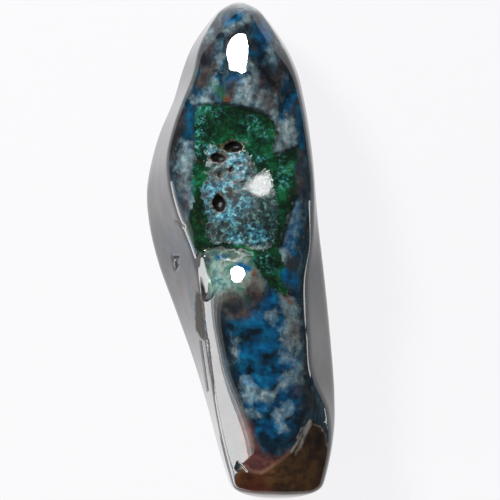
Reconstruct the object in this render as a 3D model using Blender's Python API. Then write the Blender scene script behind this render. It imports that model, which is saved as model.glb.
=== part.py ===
# A tumbled and polished freeform chrysocolla, one solid stone about 40 mm long.
# It lies on a small ground flat, with its patterned front facing up (+Z).
# X runs across the stone, +Y runs towards its narrow tip, and Z is up.
# The origin is at the middle of the stone's footprint, on the surface that it rests on.

import math

import bmesh
import bpy
import numpy as np
from mathutils import Matrix, Vector

MM = 0.001

# Length of the stone, from the broad foot (-Y) to the narrow tip (+Y), in millimetres.
LENGTH = 39.8
FOOT_Y = -LENGTH / 2
TIP_Y = LENGTH / 2

# Outline seen from above: (y, x) along the widest line of each side.
LEFT_RIM = [(19.9, -1.4), (19.5, -1.65), (19.0, -2.0), (18.2, -2.65), (16.4, -3.9), (14.4, -4.7),
            (12.0, -5.4), (9.6, -6.45), (7.2, -7.16), (4.8, -7.56), (2.4, -7.4), (-0.8, -6.68), (-4.8, -5.24),
            (-8.8, -3.8), (-12.8, -2.58), (-16.0, -1.75), (-18.4, -1.0), (-19.9, -0.55)]
RIGHT_RIM = [(19.9, 1.2), (19.5, 1.5), (19.0, 1.8), (18.2, 2.4), (16.4, 3.6), (14.4, 4.52), (12.0, 5.1),
             (8.0, 5.72), (2.4, 6.2), (-2.4, 6.76), (-7.2, 7.24), (-11.2, 7.53), (-14.0, 7.53),
             (-16.8, 7.14), (-18.4, 6.76), (-19.9, 6.3)]

# Edges of the front, seen from above: the flank's upper edge, the inner edge of the narrow
# bevel beside it, the crest of the domes, and the right shoulder.
LEFT_EDGE = [(19.9, -1.1), (18.4, -2.1), (16.2, -3.2), (14.2, -3.6), (12.0, -4.5), (9.6, -5.3),
             (7.2, -5.75), (4.8, -5.45), (2.4, -4.75), (0.0, -3.75), (-2.4, -3.2), (-5.6, -2.9),
             (-9.7, -2.35), (-13.0, -1.9), (-16.0, -1.3), (-19.9, -0.3)]
BEVEL_EDGE = [(19.9, -0.9), (18.4, -1.4), (16.2, -2.3), (14.2, -2.6), (12.0, -3.4), (9.6, -4.0),
              (7.2, -4.3), (4.8, -4.1), (2.4, -3.6), (0.0, -2.85), (-2.4, -2.5), (-5.6, -2.1),
              (-9.7, -1.3), (-13.0, -0.4), (-16.0, 0.3), (-19.9, 0.8)]
CREST = [(19.9, 0.4), (16.4, 1.0), (12.0, 1.4), (8.0, 2.2), (4.0, 2.7), (0.0, 2.1),
         (-4.0, 1.8), (-10.0, 2.2), (-16.0, 2.8), (-19.9, 3.2)]
RIGHT_EDGE = [(19.9, 0.9), (18.4, 2.05), (16.4, 3.3), (14.4, 4.2), (12.0, 4.8), (8.0, 5.45),
              (5.6, 5.8), (2.4, 5.78), (0.5, 5.6), (-1.4, 5.3), (-4.8, 5.3), (-7.2, 5.45),
              (-9.4, 5.6), (-10.6, 5.95), (-12.3, 6.8), (-14.2, 7.1), (-16.5, 6.9), (-19.9, 6.1)]

# Heights above the resting surface: (y, z) for the same lines.
LEFT_RIM_Z = [(19.9, 4.6), (14.0, 3.6), (7.0, 3.2), (0.0, 3.0), (-8.0, 2.8), (-14.0, 3.0), (-19.9, 4.0)]
RIGHT_RIM_Z = [(19.9, 5.0), (17.0, 7.4), (14.0, 9.2), (10.0, 10.3), (7.0, 10.7), (3.0, 10.4),
               (0.0, 9.7), (-4.0, 8.3), (-8.0, 7.4), (-11.0, 8.3), (-13.0, 9.3), (-16.0, 9.0),
               (-19.9, 7.4)]
LEFT_EDGE_Z = [(19.9, 8.3), (17.4, 9.8), (14.4, 10.5), (10.0, 11.1), (5.0, 11.5), (1.0, 11.6),
               (-2.4, 11.8), (-5.6, 11.8), (-8.0, 11.7), (-9.7, 11.6), (-13.0, 11.0), (-16.0, 10.3),
               (-19.9, 9.3)]
BEVEL_EDGE_Z = [(19.9, 9.4), (17.4, 10.7), (14.4, 11.3), (10.0, 11.8), (5.0, 12.2), (2.0, 12.2),
                (0.2, 12.1), (-1.4, 12.2), (-3.0, 12.4), (-8.0, 12.5), (-10.5, 12.42),
                (-13.0, 12.15), (-16.0, 11.55), (-19.9, 10.5)]
CREST_Z = [(19.9, 10.3), (18.6, 11.15), (17.2, 11.87), (15.6, 12.38), (14.0, 12.7), (12.0, 12.95),
           (9.0, 13.2), (5.5, 13.4), (2.4, 13.3), (1.0, 13.1), (0.3, 12.98), (0.0, 13.0),
           (-0.4, 13.17), (-1.0, 13.42), (-1.8, 13.66), (-3.2, 13.8), (-7.0, 13.75),
           (-10.0, 13.55), (-13.0, 13.2), (-16.0, 12.5), (-19.9, 11.3)]
RIGHT_EDGE_Z = [(19.9, 9.0), (17.4, 10.2), (14.4, 11.2), (10.0, 12.0), (5.0, 12.4), (0.0, 12.2),
                (-5.0, 12.2), (-9.0, 12.1), (-12.0, 11.5), (-15.0, 11.0), (-19.9, 10.0)]
KEEL_Z = [(19.9, 3.2), (17.0, 0.9), (14.0, -0.1), (8.0, -0.5), (0.0, -0.6), (-8.0, -0.5),
          (-14.0, -0.3), (-17.6, 0.4), (-19.9, 2.0)]

# Depth of each closing end, over which the sections shrink to a point, and that point's height.
TIP_CLOSE = 1.0
FOOT_CLOSE = 1.1
TIP_CENTRE = (-0.1, 5.6)
FOOT_CENTRE = (2.9, 4.8)

# Rounding radii of a section's corners.
RIM_ROUND = 2.4
EDGE_ROUND = 0.5
BEVEL_ROUND = 1.5
SHOULDER_ROUND = 0.5
UNDER_ROUND = 2.6
KEEL_ROUND = 9.0
# How far the underside's corners stand in from the rims.
UNDER_INSET = 2.3
UNDER_RISE = 0.35

# Mesh density: sections along the stone, and points on each rounded corner, on each run between
# two corners, and on each side of the domed front.
SECTIONS = 60
CLOSING_SECTIONS = 6
CORNER_POINTS = 5
RUN_POINTS = 2
ARCH_POINTS = 5

# Low swells, one on the middle dome and one on the upper end of the lower dome: x, y, height
# and spread. They fade out down the flanks, over these heights.
SWELLS = [(3.4, 3.6, 0.85, 1.7), (-0.2, -2.65, 0.3, 1.3)]
SWELL_FADE_Z = (7.0, 12.0)

# The flat that was ground on the back, at height zero.
FLAT_Z = 0.0

# A fan of shallow hollow facets below the lower dome, each the side of a large lying cylinder.
# They meet the dome in a U-shaped ridge: x and y of a point on that ridge, the way that the
# facet faces there, in degrees from -Y towards +X, and its tilt from level at the ridge.
FACET_RADIUS = 30.0
FACET_LENGTH = 24.0
FACET_SIDES = 128
FACETS = [
    (5.5, -14.0, 60.0, 43.0),
    (3.7, -16.35, 42.0, 44.0),
    (1.9, -17.6, 16.0, 43.0),
    (0.2, -17.3, -24.0, 40.0),
]

# Open pits in the druse: (x, y, half width, half height, depth, turn in degrees).
PITS = [
    (-0.52, 8.28, 0.78, 0.42, 0.75, 8.0),
    (-1.8, 7.4, 0.66, 0.32, 0.6, -12.0),
    (-0.7, 6.48, 0.2, 0.2, 0.45, 0.0),
    (-1.64, 5.96, 0.24, 0.2, 0.4, 0.0),
    (-1.72, 3.76, 0.5, 0.68, 0.8, 15.0),
    (-0.8, 4.48, 0.18, 0.33, 0.45, -10.0),
]
# A chipped pit in the left flank: its middle, and its half sizes across, along and up.
CHIP_PLACE = (-5.35, -1.0, 7.5)
CHIP_HALF_SIZES = (0.45, 0.55, 0.35)


def through(points, y):
    """Value at y of the smooth curve through hand-placed (y, value) points."""
    points = sorted(points)
    ys = np.array([p[0] for p in points])
    vs = np.array([p[1] for p in points])
    slopes = np.gradient(vs, ys)
    i = int(np.clip(np.searchsorted(ys, y) - 1, 0, len(ys) - 2))
    span = ys[i + 1] - ys[i]
    t = (y - ys[i]) / span
    start = (1 + 2 * t) * (1 - t) ** 2 * vs[i] + t * (1 - t) ** 2 * span * slopes[i]
    end = t * t * (3 - 2 * t) * vs[i + 1] + t * t * (t - 1) * span * slopes[i + 1]
    return start + end


def corner_arc(before, corner, after, radius):
    """Points of a section's corner, rounded by a quadratic curve of about this radius."""
    to_before = before - corner
    to_after = after - corner
    half = math.acos(np.clip(to_before.dot(to_after) / (np.linalg.norm(to_before)
                     * np.linalg.norm(to_after)), -1.0, 1.0)) / 2
    reach = radius / max(math.tan(half), 0.05)
    first = corner + to_before * min(0.45, reach / np.linalg.norm(to_before))
    last = corner + to_after * min(0.45, reach / np.linalg.norm(to_after))
    steps = np.linspace(0.0, 1.0, CORNER_POINTS)
    return [(1 - t) ** 2 * first + 2 * t * (1 - t) * corner + t * t * last for t in steps]


def arch_point(edge, crest, share):
    """A point of the domed front, at a share of the way from its crest to an edge."""
    return (crest[0] + (edge[0] - crest[0]) * share, crest[1] + (edge[1] - crest[1]) * share ** 2)


def swell_height(x, y, z):
    """How much the low swells add to the height of points x, z in the section at y."""
    low, high = SWELL_FADE_Z
    total = np.zeros(len(x))
    for middle_x, middle_y, height, spread in SWELLS:
        squared = (x - middle_x) ** 2 + (y - middle_y) ** 2
        total += height * np.exp(-squared / (2 * spread ** 2))
    return total * np.clip((z - low) / (high - low), 0.0, 1.0)


def section(y):
    """The stone's outline across its length at y, as (x, z) points, in millimetres."""
    left = through(LEFT_RIM, y)
    right = through(RIGHT_RIM, y)
    keel = through(KEEL_Z, y)
    inset = min(UNDER_INSET, 0.3 * (right - left))
    bevel = (through(BEVEL_EDGE, y), through(BEVEL_EDGE_Z, y))
    crest = (through(CREST, y), through(CREST_Z, y))
    shoulder = (through(RIGHT_EDGE, y), through(RIGHT_EDGE_Z, y))
    shares = np.arange(1, ARCH_POINTS + 1) / (ARCH_POINTS + 1)
    arch = [arch_point(bevel, crest, share) for share in shares[::-1]]
    arch.append(crest)
    arch += [arch_point(shoulder, crest, share) for share in shares]
    corners = [
        ((left, through(LEFT_RIM_Z, y)), RIM_ROUND),
        ((through(LEFT_EDGE, y), through(LEFT_EDGE_Z, y)), EDGE_ROUND),
        (bevel, BEVEL_ROUND),
        *[(point, None) for point in arch],
        (shoulder, SHOULDER_ROUND),
        ((right, through(RIGHT_RIM_Z, y)), RIM_ROUND),
        ((right - inset, keel + UNDER_RISE), UNDER_ROUND),
        (((left + right) / 2, keel), KEEL_ROUND),
        ((left + inset, keel + UNDER_RISE), UNDER_ROUND),
    ]
    places = [np.array(place) for place, _ in corners]
    count = len(corners)
    arcs = [[places[i]] if corners[i][1] is None
            else corner_arc(places[i - 1], places[i], places[(i + 1) % count], corners[i][1])
            for i in range(count)]
    outline = []
    for i, arc in enumerate(arcs):
        outline.extend(arc)
        nearer, farther = arc[-1], arcs[(i + 1) % count][0]
        if len(arc) == 1 or len(arcs[(i + 1) % count]) == 1:
            continue
        for k in range(1, RUN_POINTS + 1):
            outline.append(nearer + (farther - nearer) * k / (RUN_POINTS + 1))
    outline = np.array(outline)
    outline[:, 1] += swell_height(outline[:, 0], y, outline[:, 1])
    # Rounding draws the rims in, so the section is widened again to the measured outline.
    low, high = outline[:, 0].min(), outline[:, 0].max()
    outline[:, 0] = left + (outline[:, 0] - low) * (right - left) / (high - low)
    return outline


def section_places():
    """Places of the sections, closer together where each end closes."""
    ease = np.sin(np.linspace(0.0, math.pi / 2, CLOSING_SECTIONS + 1))[:-1]
    foot = FOOT_Y + FOOT_CLOSE * (1 - ease[::-1])
    tip = TIP_Y - TIP_CLOSE * (1 - ease)
    middle = np.linspace(foot[-1], tip[0], SECTIONS - 2 * CLOSING_SECTIONS)[1:-1]
    return list(foot) + list(middle) + list(tip)


def closing(y):
    """How far the section at y has shrunk towards its end, and the point it shrinks to."""
    if y > TIP_Y - TIP_CLOSE:
        u = (y - (TIP_Y - TIP_CLOSE)) / TIP_CLOSE
        return math.sqrt(max(0.0, 1 - u * u)), np.array(TIP_CENTRE)
    if y < FOOT_Y + FOOT_CLOSE:
        u = (FOOT_Y + FOOT_CLOSE - y) / FOOT_CLOSE
        return math.sqrt(max(0.0, 1 - u * u)), np.array(FOOT_CENTRE)
    return 1.0, np.zeros(2)


def loft_body(name):
    """The whole stone before grinding: sections joined along the length, with closed ends."""
    shape = bmesh.new()
    rings = []
    for y in section_places():
        scale, centre = closing(y)
        outline = centre + (section(y) - centre) * scale
        rings.append([shape.verts.new((x * MM, y * MM, z * MM)) for x, z in outline])
    tip = shape.verts.new((TIP_CENTRE[0] * MM, TIP_Y * MM, TIP_CENTRE[1] * MM))
    foot = shape.verts.new((FOOT_CENTRE[0] * MM, FOOT_Y * MM, FOOT_CENTRE[1] * MM))
    around = len(rings[0])
    for nearer, farther in zip(rings, rings[1:]):
        for i in range(around):
            j = (i + 1) % around
            shape.faces.new((nearer[i], nearer[j], farther[j], farther[i]))
    for i in range(around):
        j = (i + 1) % around
        shape.faces.new((rings[0][j], rings[0][i], foot))
        shape.faces.new((rings[-1][i], rings[-1][j], tip))
    bmesh.ops.recalc_face_normals(shape, faces=shape.faces[:])
    mesh = bpy.data.meshes.new(name)
    shape.to_mesh(mesh)
    shape.free()
    return bpy.data.objects.new(name, mesh)


def grind_flat(stone):
    """Cut the underside off level, which leaves the flat that the stone rests on."""
    shape = bmesh.new()
    shape.from_mesh(stone.data)
    everything = shape.verts[:] + shape.edges[:] + shape.faces[:]
    cut = bmesh.ops.bisect_plane(shape, geom=everything, plane_co=(0.0, 0.0, FLAT_Z),
                                 plane_no=(0.0, 0.0, -1.0), clear_outer=True)
    rim = [edge for edge in cut["geom_cut"] if isinstance(edge, bmesh.types.BMEdge)]
    bmesh.ops.contextual_create(shape, geom=rim)
    bmesh.ops.recalc_face_normals(shape, faces=shape.faces[:])
    shape.to_mesh(stone.data)
    shape.free()


def cutter_from(shape, name, place, collection):
    """Make a wire-drawn cutting tool from a bmesh, at a place in millimetres."""
    mesh = bpy.data.meshes.new(name)
    shape.to_mesh(mesh)
    shape.free()
    tool = bpy.data.objects.new(name, mesh)
    tool.location = Vector(place) * MM
    tool.hide_render = True
    tool.display_type = "WIRE"
    collection.objects.link(tool)
    return tool


def front_height(x, y):
    """Height of the front above a point, from the section there."""
    outline = section(y)
    upper = outline[outline[:, 1] > through(LEFT_EDGE_Z, y) - 0.5]
    order = np.argsort(upper[:, 0])
    return float(np.interp(x, upper[order, 0], upper[order, 1]))


def facet_cutter(number, facet, collection):
    """A lying cylinder whose surface is one hollow facet at the foot."""
    x, y, facing, tilting = facet
    shape = bmesh.new()
    bmesh.ops.create_cone(shape, cap_ends=True, segments=FACET_SIDES, radius1=FACET_RADIUS * MM,
                          radius2=FACET_RADIUS * MM, depth=FACET_LENGTH * MM)
    axis_along_x = Matrix.Rotation(math.pi / 2, 4, "Y")
    lift = Matrix.Translation((0.0, 0.0, FACET_RADIUS * MM))
    tilt = Matrix.Rotation(math.radians(tilting), 4, "X")
    turn = Matrix.Rotation(math.radians(facing), 4, "Z")
    shape.transform(turn @ tilt @ lift @ axis_along_x)
    return cutter_from(shape, f"facet_cutter_{number}", (x, y, front_height(x, y)), collection)


def pit_cutter(number, pit, collection):
    """A small rounded lump, sunk into the front to leave one open pit."""
    x, y, across, along, depth, turn = pit
    shape = bmesh.new()
    bmesh.ops.create_icosphere(shape, subdivisions=2, radius=1.0)
    for vert in shape.verts:
        lump = 1.0 + 0.12 * math.sin(5 * vert.co.x + 3 * vert.co.y + number)
        vert.co = Vector((vert.co.x * across, vert.co.y * along, vert.co.z * depth)) * lump * MM
    shape.transform(Matrix.Rotation(math.radians(turn), 4, "Z"))
    return cutter_from(shape, f"pit_cutter_{number}", (x, y, front_height(x, y)), collection)


def chip_cutter(collection):
    """A small smooth lump for the chip in the flank."""
    shape = bmesh.new()
    bmesh.ops.create_icosphere(shape, subdivisions=2, radius=1.0)
    bmesh.ops.scale(shape, vec=Vector(CHIP_HALF_SIZES) * MM, verts=shape.verts)
    return cutter_from(shape, "chip_cutter", CHIP_PLACE, collection)


def cut(stone, tool):
    """Subtract one tool from the stone."""
    boolean = stone.modifiers.new(tool.name, "BOOLEAN")
    boolean.operation = "DIFFERENCE"
    boolean.solver = "EXACT"
    boolean.object = tool


def polished_stone():
    """Polished copper-bearing stone, mostly deep blue-green."""
    material = bpy.data.materials.new("polished_chrysocolla")
    material.use_nodes = True
    shader = material.node_tree.nodes["Principled BSDF"]
    shader.inputs["Base Color"].default_value = (0.02, 0.12, 0.19, 1.0)
    shader.inputs["Roughness"].default_value = 0.12
    shader.inputs["Metallic"].default_value = 0.0
    return material


def main():
    for existing in list(bpy.data.objects):
        bpy.data.objects.remove(existing, do_unlink=True)
    parts = bpy.data.collections.new("chrysocolla_parts")
    tools = bpy.data.collections.new("chrysocolla_cutters")
    bpy.context.scene.collection.children.link(parts)
    bpy.context.scene.collection.children.link(tools)

    stone = loft_body("chrysocolla")
    parts.objects.link(stone)
    grind_flat(stone)
    stone.data.materials.append(polished_stone())
    stone.data.shade_smooth()

    for number, facet in enumerate(FACETS):
        cut(stone, facet_cutter(number, facet, tools))
    for number, pit in enumerate(PITS):
        cut(stone, pit_cutter(number, pit, tools))
    cut(stone, chip_cutter(tools))


main()
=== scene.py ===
# %% [markdown]
# # A polished chrysocolla
# A chrysocolla like this one is a lump of copper ore: blue azurite, green malachite and pale
# quartz that grew into each other, ground to a rounded shape and polished until it shines like
# wet glass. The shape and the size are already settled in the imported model, so this lesson
# loads that model as a fixed frame and works on what the eye sees: a fine smooth surface, the
# open pocket of tiny crystals, and the minerals' colours.

# %% Load the frame
import math

import bpy
import numpy as np
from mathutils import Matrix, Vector


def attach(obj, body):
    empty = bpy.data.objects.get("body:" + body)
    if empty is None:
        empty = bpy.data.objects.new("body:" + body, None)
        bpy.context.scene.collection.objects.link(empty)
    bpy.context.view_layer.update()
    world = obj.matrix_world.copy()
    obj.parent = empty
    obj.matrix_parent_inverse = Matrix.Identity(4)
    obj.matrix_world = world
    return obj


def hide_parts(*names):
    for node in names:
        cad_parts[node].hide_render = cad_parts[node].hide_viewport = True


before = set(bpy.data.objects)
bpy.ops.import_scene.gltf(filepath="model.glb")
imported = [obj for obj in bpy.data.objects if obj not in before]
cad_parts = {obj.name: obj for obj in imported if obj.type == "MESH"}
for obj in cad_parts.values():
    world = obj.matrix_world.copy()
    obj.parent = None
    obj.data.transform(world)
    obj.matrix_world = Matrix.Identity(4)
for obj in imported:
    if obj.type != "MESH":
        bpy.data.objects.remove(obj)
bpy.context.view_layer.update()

MM = 0.001

# %% [markdown]
# Everything on the front was placed over a reference view of 500 by 500 pixels, seen
# from straight above. A pixel there is 0.08 mm on the stone, and the stone's middle lies a
# little left of the view's middle. One function turns such a pixel into a place in millimetres.

# %% From the reference view to the stone
VIEW_PIXELS = 500
PIXEL = 0.08
STONE_MIDDLE = (240.5, 250.5)


def from_view(px, py):
    """The place on the stone, in millimetres across and along it."""
    return ((px - STONE_MIDDLE[0]) * PIXEL, (STONE_MIDDLE[1] - py) * PIXEL)


def linear(code):
    """A colour picked as an sRGB hex code, in the linear values that shaders work in."""
    parts = [int(code[i:i + 2], 16) / 255 for i in (0, 2, 4)]
    return tuple(c / 12.92 if c <= 0.04045 else ((c + 0.055) / 1.055) ** 2.4 for c in parts) + (1.0,)


print("the narrow tip lies at", [round(v, 2) for v in from_view(240, 3)], "mm")

# %% [markdown]
# ## The camera
# The stone lies on its back, so the view that shows its front is from straight above, with the
# narrow tip at the top of the picture. A long lens from a metre away keeps the sides as steep
# as they look in the hand.

# %% Camera
CAMERA_HEIGHT = 1000 * MM
# The stone is widest at about this height, so the view's scale is set there.
FRONT_HEIGHT = 8 * MM
SENSOR = 36.0
FARTHEST_SEEN = 20.0
view_width = VIEW_PIXELS * PIXEL * MM
view_x, view_y = from_view(VIEW_PIXELS / 2, VIEW_PIXELS / 2)

camera_data = bpy.data.cameras.new("camera")
camera_data.sensor_width = SENSOR
camera_data.lens = SENSOR * (CAMERA_HEIGHT - FRONT_HEIGHT) / view_width
camera_data.clip_end = FARTHEST_SEEN
camera = bpy.data.objects.new("camera", camera_data)
camera.location = (view_x * MM, view_y * MM, CAMERA_HEIGHT)
bpy.context.collection.objects.link(camera)
bpy.context.scene.camera = camera
print("lens in mm:", round(camera_data.lens))

# %% [markdown]
# ## The light
# A polished stone is mostly what it mirrors. One small soft box stands high on the upper left,
# and the small flats on the domes mirror it as hard white patches. The flanks mirror the pale
# table at a glancing angle, which turns them light grey. On the left a panel stands close to the
# table and its glow dies away upwards in three steps, so that the bevel turns into one long
# bright strip. A glowing patch of the table beside the foot lights the flank's lower part, and a
# panel on the right draws the thin bright line there. The rest of the room is dim, so the front
# keeps its deep colours.

# %% Lights and surroundings
AIM_HEIGHT = 10
KEY_DIRECTION = (-0.45, 0.50, 0.74)
# Each light: its direction, its distance and its sides in millimetres, and its brightness.
LIGHTS = {
    "key_soft_box": (KEY_DIRECTION, 420, (90, 90), 60),
    "left_panel": ((-1.0, -0.36, 0.15), 330, (190, 90), 7.5),
    "left_fade_1": ((-1.0, -0.36, 0.37), 330, (190, 32), 3.2),
    "left_fade_2": ((-1.0, -0.36, 0.47), 330, (190, 32), 1.5),
    "left_fade_3": ((-1.0, -0.36, 0.58), 330, (190, 32), 0.7),
    "right_panel": ((1.0, -0.22, 0.11), 330, (170, 34), 5),
    "low_glow": ((-1.0, -0.51, -0.05), 174, (290, 40), 5.5),
}
# The low glow lies on the table and shines upwards, turned to lie along the stone.
LOW_GLOW_LIFT = 0.5
LOW_GLOW_TURN = math.radians(17)


def soft_box(name, direction, distance, sides, brightness):
    """A rectangular white light that faces the stone from a direction."""
    light = bpy.data.lights.new(name, "AREA")
    light.shape = "RECTANGLE"
    light.size, light.size_y = sides[0] * MM, sides[1] * MM
    # An area light's power for a given brightness of its face grows with its area.
    light.energy = brightness * light.size * light.size_y * math.pi
    lamp = bpy.data.objects.new(name, light)
    towards = Vector(direction).normalized()
    lamp.location = Vector((0, 0, AIM_HEIGHT * MM)) + towards * distance * MM
    lamp.rotation_euler = towards.to_track_quat("Z", "Y").to_euler()
    lamp.visible_camera = False
    bpy.context.collection.objects.link(lamp)
    return lamp


def add_node(owner, kind, inputs=None, stops=(), **settings):
    """Add a node with its settings. Each input is a plain value, or an output to link to it.

    A ramp's stops are pairs of a place from 0 to 1 and an sRGB hex code.
    """
    node = owner.node_tree.nodes.new(kind)
    for name, value in settings.items():
        setattr(node, name, value)
    for socket, value in (inputs or {}).items():
        if isinstance(value, bpy.types.NodeSocket):
            owner.node_tree.links.new(value, node.inputs[socket])
        else:
            node.inputs[socket].default_value = value
    for i, (place, code) in enumerate(stops):
        if i >= len(node.color_ramp.elements):
            node.color_ramp.elements.new(1.0)
        node.color_ramp.elements[i].position = place
        node.color_ramp.elements[i].color = linear(code)
    return node


lamps = {name: soft_box(name, *light) for name, light in LIGHTS.items()}
lamps["low_glow"].location.z = LOW_GLOW_LIFT * MM
lamps["low_glow"].rotation_euler = (math.pi, 0, LOW_GLOW_TURN)

# The room is a dim grey, a little darker overhead.
ROOM_STOPS = ((0.0, "59595B"), (0.7, "505052"))
world = bpy.data.worlds.new("pale_room")
bpy.context.scene.world = world
world.use_nodes = True
sky_place = add_node(world, "ShaderNodeTexCoord")
sky_axes = add_node(world, "ShaderNodeSeparateXYZ", {0: sky_place.outputs["Generated"]})
sky_ramp = add_node(world, "ShaderNodeValToRGB", {0: sky_axes.outputs["Z"]}, ROOM_STOPS)
world.node_tree.links.new(sky_ramp.outputs[0], world.node_tree.nodes["Background"].inputs["Color"])
bpy.context.scene.view_settings.view_transform = "Standard"
print("lights:", sorted(lamps))

# %% [markdown]
# The floor is a plain light table: a white sheet lit from below, large enough to fill every
# view. Its even glow leaves hardly a shadow beside the stone, and it is what the flanks mirror.

# %% Floor
FLOOR_SIZE = 3000 * MM
FLOOR_LOOK = {
    "Base Color": linear("595959"),
    "Roughness": 0.9,
    "Specular IOR Level": 0.1,
    "Emission Color": linear("FEFDFF"),
    "Emission Strength": 0.88,
}

bpy.ops.object.select_all(action="DESELECT")
bpy.ops.mesh.primitive_plane_add(size=FLOOR_SIZE)
floor = bpy.context.object
floor.name = "floor"
floor_finish = bpy.data.materials.new("white_light_table")
floor_finish.use_nodes = True
for socket, value in FLOOR_LOOK.items():
    floor_finish.node_tree.nodes["Principled BSDF"].inputs[socket].default_value = value
floor.data.materials.append(floor_finish)
print("floor", round(floor.dimensions.x, 2), "m wide")

# %% [markdown]
# ## The stone's surface
# Polishing leaves a surface with no flat faces at all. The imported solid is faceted, so a copy
# of it is welded into one skin, rebuilt as an even net of small squares, and relaxed until the
# facets are gone. The open pits and the fold between the two domes are held while the rest
# relaxes, so they stay crisp, and the narrow tip gives way only a little, or it would shrink.

# %% Copy and relax the stone
WELD = 0.001
NET = 0.15
RELAX_STEPS = 30
# The open pits: place in the view, half width and half height in pixels.
PITS = [
    (234, 147, 9.8, 5.2), (218, 158, 8.2, 4.0), (231.5, 169.5, 2.5, 2.5),
    (220, 176, 3.0, 2.5), (219, 203.5, 6.2, 8.5), (230.5, 194.5, 2.2, 4.1),
]
# A pit is held out to the first of these distances from its rim, and fades to the second, both
# as shares of its half width.
PIT_HOLD = (0.3, 1.2)
# The fold below the druse: its line in the view, its half width, and its ends with the pixels
# that each fades over.
FOLD = [(205, 254), (220, 250), (236, 249), (250, 253), (262, 266)]
FOLD_HALF_WIDTH = 7
FOLD_START, FOLD_START_FADE = 203, 4
FOLD_END, FOLD_END_FADE = 264, 6
# The tip is held from this height on the stone upwards, over a millimetre.
TIP_START = 16.8
TIP_HOLD = 0.85
# In the solid's millimetres, everything on the front lies above this level.
FRONT_LEVEL = 9.0


def only(piece):
    """Select this piece alone, and make it the one that operators act on."""
    bpy.ops.object.select_all(action="DESELECT")
    piece.select_set(True)
    bpy.context.view_layer.objects.active = piece


def apply_modifier(piece, name, kind, **settings):
    """Give the piece a modifier with these settings, and apply it."""
    only(piece)
    modifier = piece.modifiers.new(name, kind)
    for setting, value in settings.items():
        setattr(modifier, setting, value)
    bpy.ops.object.modifier_apply(modifier=modifier.name)


def places_of(piece):
    """Every vertex's place in millimetres, as rows of x, y, z."""
    flat = np.empty(len(piece.data.vertices) * 3)
    piece.data.vertices.foreach_get("co", flat)
    return flat.reshape(-1, 3) / MM


def in_view(places):
    """Where the vertices fall in the reference view, in pixels."""
    return places[:, 0] / PIXEL + STONE_MIDDLE[0], STONE_MIDDLE[1] - places[:, 1] / PIXEL


def weigh(piece, name, weights):
    """Store weights from 0 to 1 as a vertex group, in steps of a twentieth."""
    group = piece.vertex_groups.new(name=name)
    steps = np.round(np.clip(weights, 0, 1) * 20) / 20
    for step in np.unique(steps):
        if step > 0:
            group.add(np.nonzero(steps == step)[0].tolist(), float(step), "REPLACE")


def depth_in_pits(px, py):
    """1 at a pit's middle, 0 on its rim, and below 0 outside, for the nearest pit."""
    return np.max([1 - np.hypot((px - cx) / across, (py - cy) / down)
                   for cx, cy, across, down in PITS], axis=0)


def depth_in_fold(px, py):
    """1 along the fold, falling to 0 half a millimetre away from it and past its ends."""
    fold_y = np.interp(px, *zip(*FOLD))
    started = np.clip((px - FOLD_START) / FOLD_START_FADE, 0, 1)
    ongoing = np.clip((FOLD_END - px) / FOLD_END_FADE, 0, 1)
    return np.maximum(1 - np.abs(py - fold_y) / FOLD_HALF_WIDTH, 0) * started * ongoing


cad_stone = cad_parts["chrysocolla"]
stone = bpy.data.objects.new("chrysocolla_polished", cad_stone.data.copy())
bpy.context.collection.objects.link(stone)
only(stone)
bpy.ops.object.mode_set(mode="EDIT")
bpy.ops.mesh.select_all(action="SELECT")
bpy.ops.mesh.remove_doubles(threshold=WELD * MM)
bpy.ops.object.mode_set(mode="OBJECT")
apply_modifier(stone, "net", "REMESH", mode="VOXEL", voxel_size=NET * MM)

places = places_of(stone)
px, py = in_view(places)
on_front_side = places[:, 2] > FRONT_LEVEL
pit_hold = np.clip((depth_in_pits(px, py) + PIT_HOLD[1]) / (PIT_HOLD[1] - PIT_HOLD[0]), 0, 1)
front_hold = np.maximum(pit_hold, depth_in_fold(px, py)) * on_front_side
tip_hold = TIP_HOLD * np.clip(places[:, 1] - TIP_START, 0, 1)
weigh(stone, "relaxed", 1 - np.maximum(front_hold, tip_hold))
apply_modifier(stone, "relax", "SMOOTH", factor=0.5, iterations=RELAX_STEPS, vertex_group="relaxed")
print("faces in the net:", len(stone.data.polygons))

# %% [markdown]
# ## Where each mineral lies
# The minerals have edges that wander, but each patch has a place. So every mineral gets a map
# on the stone's own points: how deep a point lies inside that mineral's patches, in
# millimetres, and negative outside. The shader adds fine noise to that depth before it cuts it
# at zero, which gives a crisp and natural edge. Patches are ovals, streaks from one point to
# another, or outlines with a few corners.

# %% Patches
FAR = 1e9
# How far from an edge, in millimetres, a map still tells depths apart.
DEPTH_LIMIT = 1.5
# A point counts as facing up from this slope on.
UPWARD_FADE = 0.08
PIT_MAP_LIMIT = 2.0


def depth_in_oval(px, py, cx, cy, across, down, turn=0.0):
    """Pixels inside an oval that is turned by some degrees."""
    angle = math.radians(turn)
    along_x = (px - cx) * math.cos(angle) + (py - cy) * math.sin(angle)
    along_y = -(px - cx) * math.sin(angle) + (py - cy) * math.cos(angle)
    return (1 - np.hypot(along_x / across, along_y / down)) * min(across, down)


def depth_in_streak(px, py, ax, ay, bx, by, half_width):
    """Pixels inside a streak with round ends, from a to b."""
    run_x, run_y = bx - ax, by - ay
    share = ((px - ax) * run_x + (py - ay) * run_y) / (run_x ** 2 + run_y ** 2)
    share = np.clip(share, 0, 1)
    return half_width - np.hypot(px - ax - share * run_x, py - ay - share * run_y)


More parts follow.
